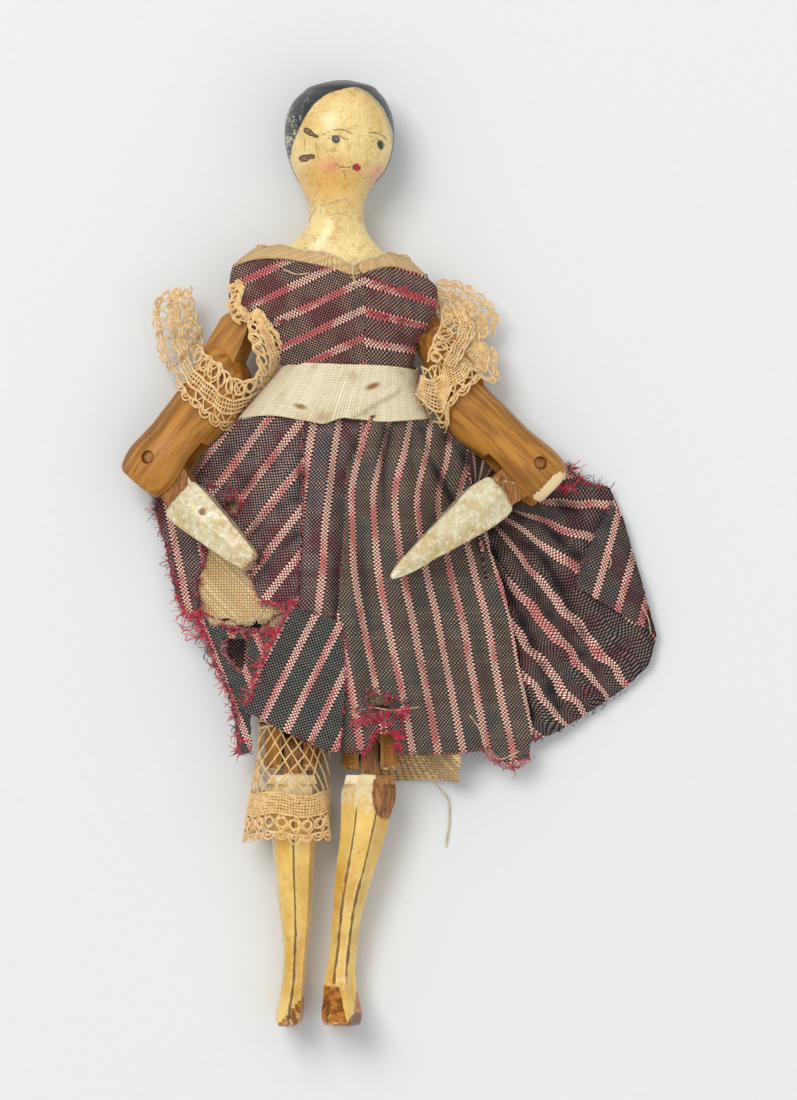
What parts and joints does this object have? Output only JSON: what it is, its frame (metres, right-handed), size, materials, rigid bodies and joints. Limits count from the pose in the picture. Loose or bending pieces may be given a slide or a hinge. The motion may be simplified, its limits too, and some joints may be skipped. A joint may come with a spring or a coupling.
{
  "type": "jointed wooden doll",
  "caption": "Small turned wooden doll lying on its back, with pegged shoulders, elbows, hips and knees, a painted head, and a worn striped dress with a ribbon sash and lace.",
  "frame": {"origin": "middle of the underside of the doll lying on its back", "axes": "+Y along the body to the head, +Z out of the front of the doll, +X to the right of a viewer looking down at it"},
  "size_m": [0.0848, 0.1492, 0.0187],
  "materials": {
    "paint": "aged cream oil paint with a thin varnish",
    "wood": "bare fine-grained softwood, worn",
    "peg": "dark end-grain wood",
    "stripe": "plain-woven dark cotton with woven pink and cream stripes",
    "ribbon": "stained cream woven ribbon",
    "lace": "tan cotton bobbin lace",
    "linen": "coarse tan plain-woven linen",
    "tape": "tan woven cotton tape"
  },
  "bodies": {
    "torso": {"head_and_torso": "paint", "shoulder_peg_left": "peg", "shoulder_peg_right": "peg", "hip_peg": "peg", "bodice_front_left": "stripe", "bodice_front_right": "stripe", "bodice_back": "stripe", "neck_tape_left": "tape", "neck_tape_right": "tape", "sash": "ribbon", "skirt_front_left": "stripe", "skirt_front_centre": "stripe", "skirt_fan_right": "stripe", "skirt_back": "stripe", "skirt_strip_left": "stripe", "skirt_folded_patch": "stripe", "petticoat": "linen"},
    "upper_arm_left": {"upper_arm_left": "wood", "elbow_peg_left": "peg", "sleeve_lace_left": "lace", "lace_tail_left": "lace"},
    "forearm_left": {"forearm_left": "paint"},
    "upper_arm_right": {"upper_arm_right": "wood", "elbow_peg_right": "peg", "sleeve_lace_right": "lace"},
    "forearm_right": {"forearm_right": "paint"},
    "thigh_left": {"thigh_left": "wood", "knee_peg_left": "peg", "drawers_left": "linen", "lace_cuff_left": "lace"},
    "lower_leg_left": {"lower_leg_left": "paint"},
    "thigh_right": {"thigh_right": "wood", "knee_peg_right": "peg", "drawers_right": "linen"},
    "lower_leg_right": {"lower_leg_right": "paint"}
  },
  "joints": [
    {"name": "shoulder_left", "type": "hinge", "parent": "torso", "child": "upper_arm_left", "pos_m": [-0.02102, 0.04, 0.00934], "axis": [0.364, -0.1417, -0.9206], "range_deg": [-4, 100], "deforming": ["sleeve_lace_left", "lace_tail_left"]},
    {"name": "elbow_left", "type": "hinge", "parent": "upper_arm_left", "child": "forearm_left", "pos_m": [-0.03632, 0.0146, 0.0072], "axis": [-0.364, 0.1417, 0.9206], "range_deg": [-78, 28]},
    {"name": "shoulder_right", "type": "hinge", "parent": "torso", "child": "upper_arm_right", "pos_m": [0.00378, 0.0384, 0.009], "axis": [0.3414, 0.1898, 0.9206], "range_deg": [-4, 100], "deforming": ["sleeve_lace_right"]},
    {"name": "elbow_right", "type": "hinge", "parent": "upper_arm_right", "child": "forearm_right", "pos_m": [0.02248, 0.0135, 0.0072], "axis": [-0.3414, -0.1898, -0.9206], "range_deg": [-98, 12]},
    {"name": "hip_left", "type": "hinge", "parent": "torso", "child": "thigh_left", "pos_m": [-0.01407, 0.0014, 0.0082], "axis": [-1, 0, 0], "range_deg": [0, 90], "deforming": ["skirt_front_left", "skirt_folded_patch", "petticoat"]},
    {"name": "knee_left", "type": "hinge", "parent": "thigh_left", "child": "lower_leg_left", "pos_m": [-0.01522, -0.0316, 0.0072], "axis": [1, 0, 0], "range_deg": [0, 90], "deforming": ["lace_cuff_left"]},
    {"name": "hip_right", "type": "hinge", "parent": "torso", "child": "thigh_right", "pos_m": [-0.00317, 0.0014, 0.0082], "axis": [-1, 0, 0], "range_deg": [0, 90], "deforming": ["skirt_front_centre"]},
    {"name": "knee_right", "type": "hinge", "parent": "thigh_right", "child": "lower_leg_right", "pos_m": [-0.00302, -0.0316, 0.0072], "axis": [1, 0, 0], "range_deg": [0, 90], "deforming": ["drawers_right"]}
  ]
}
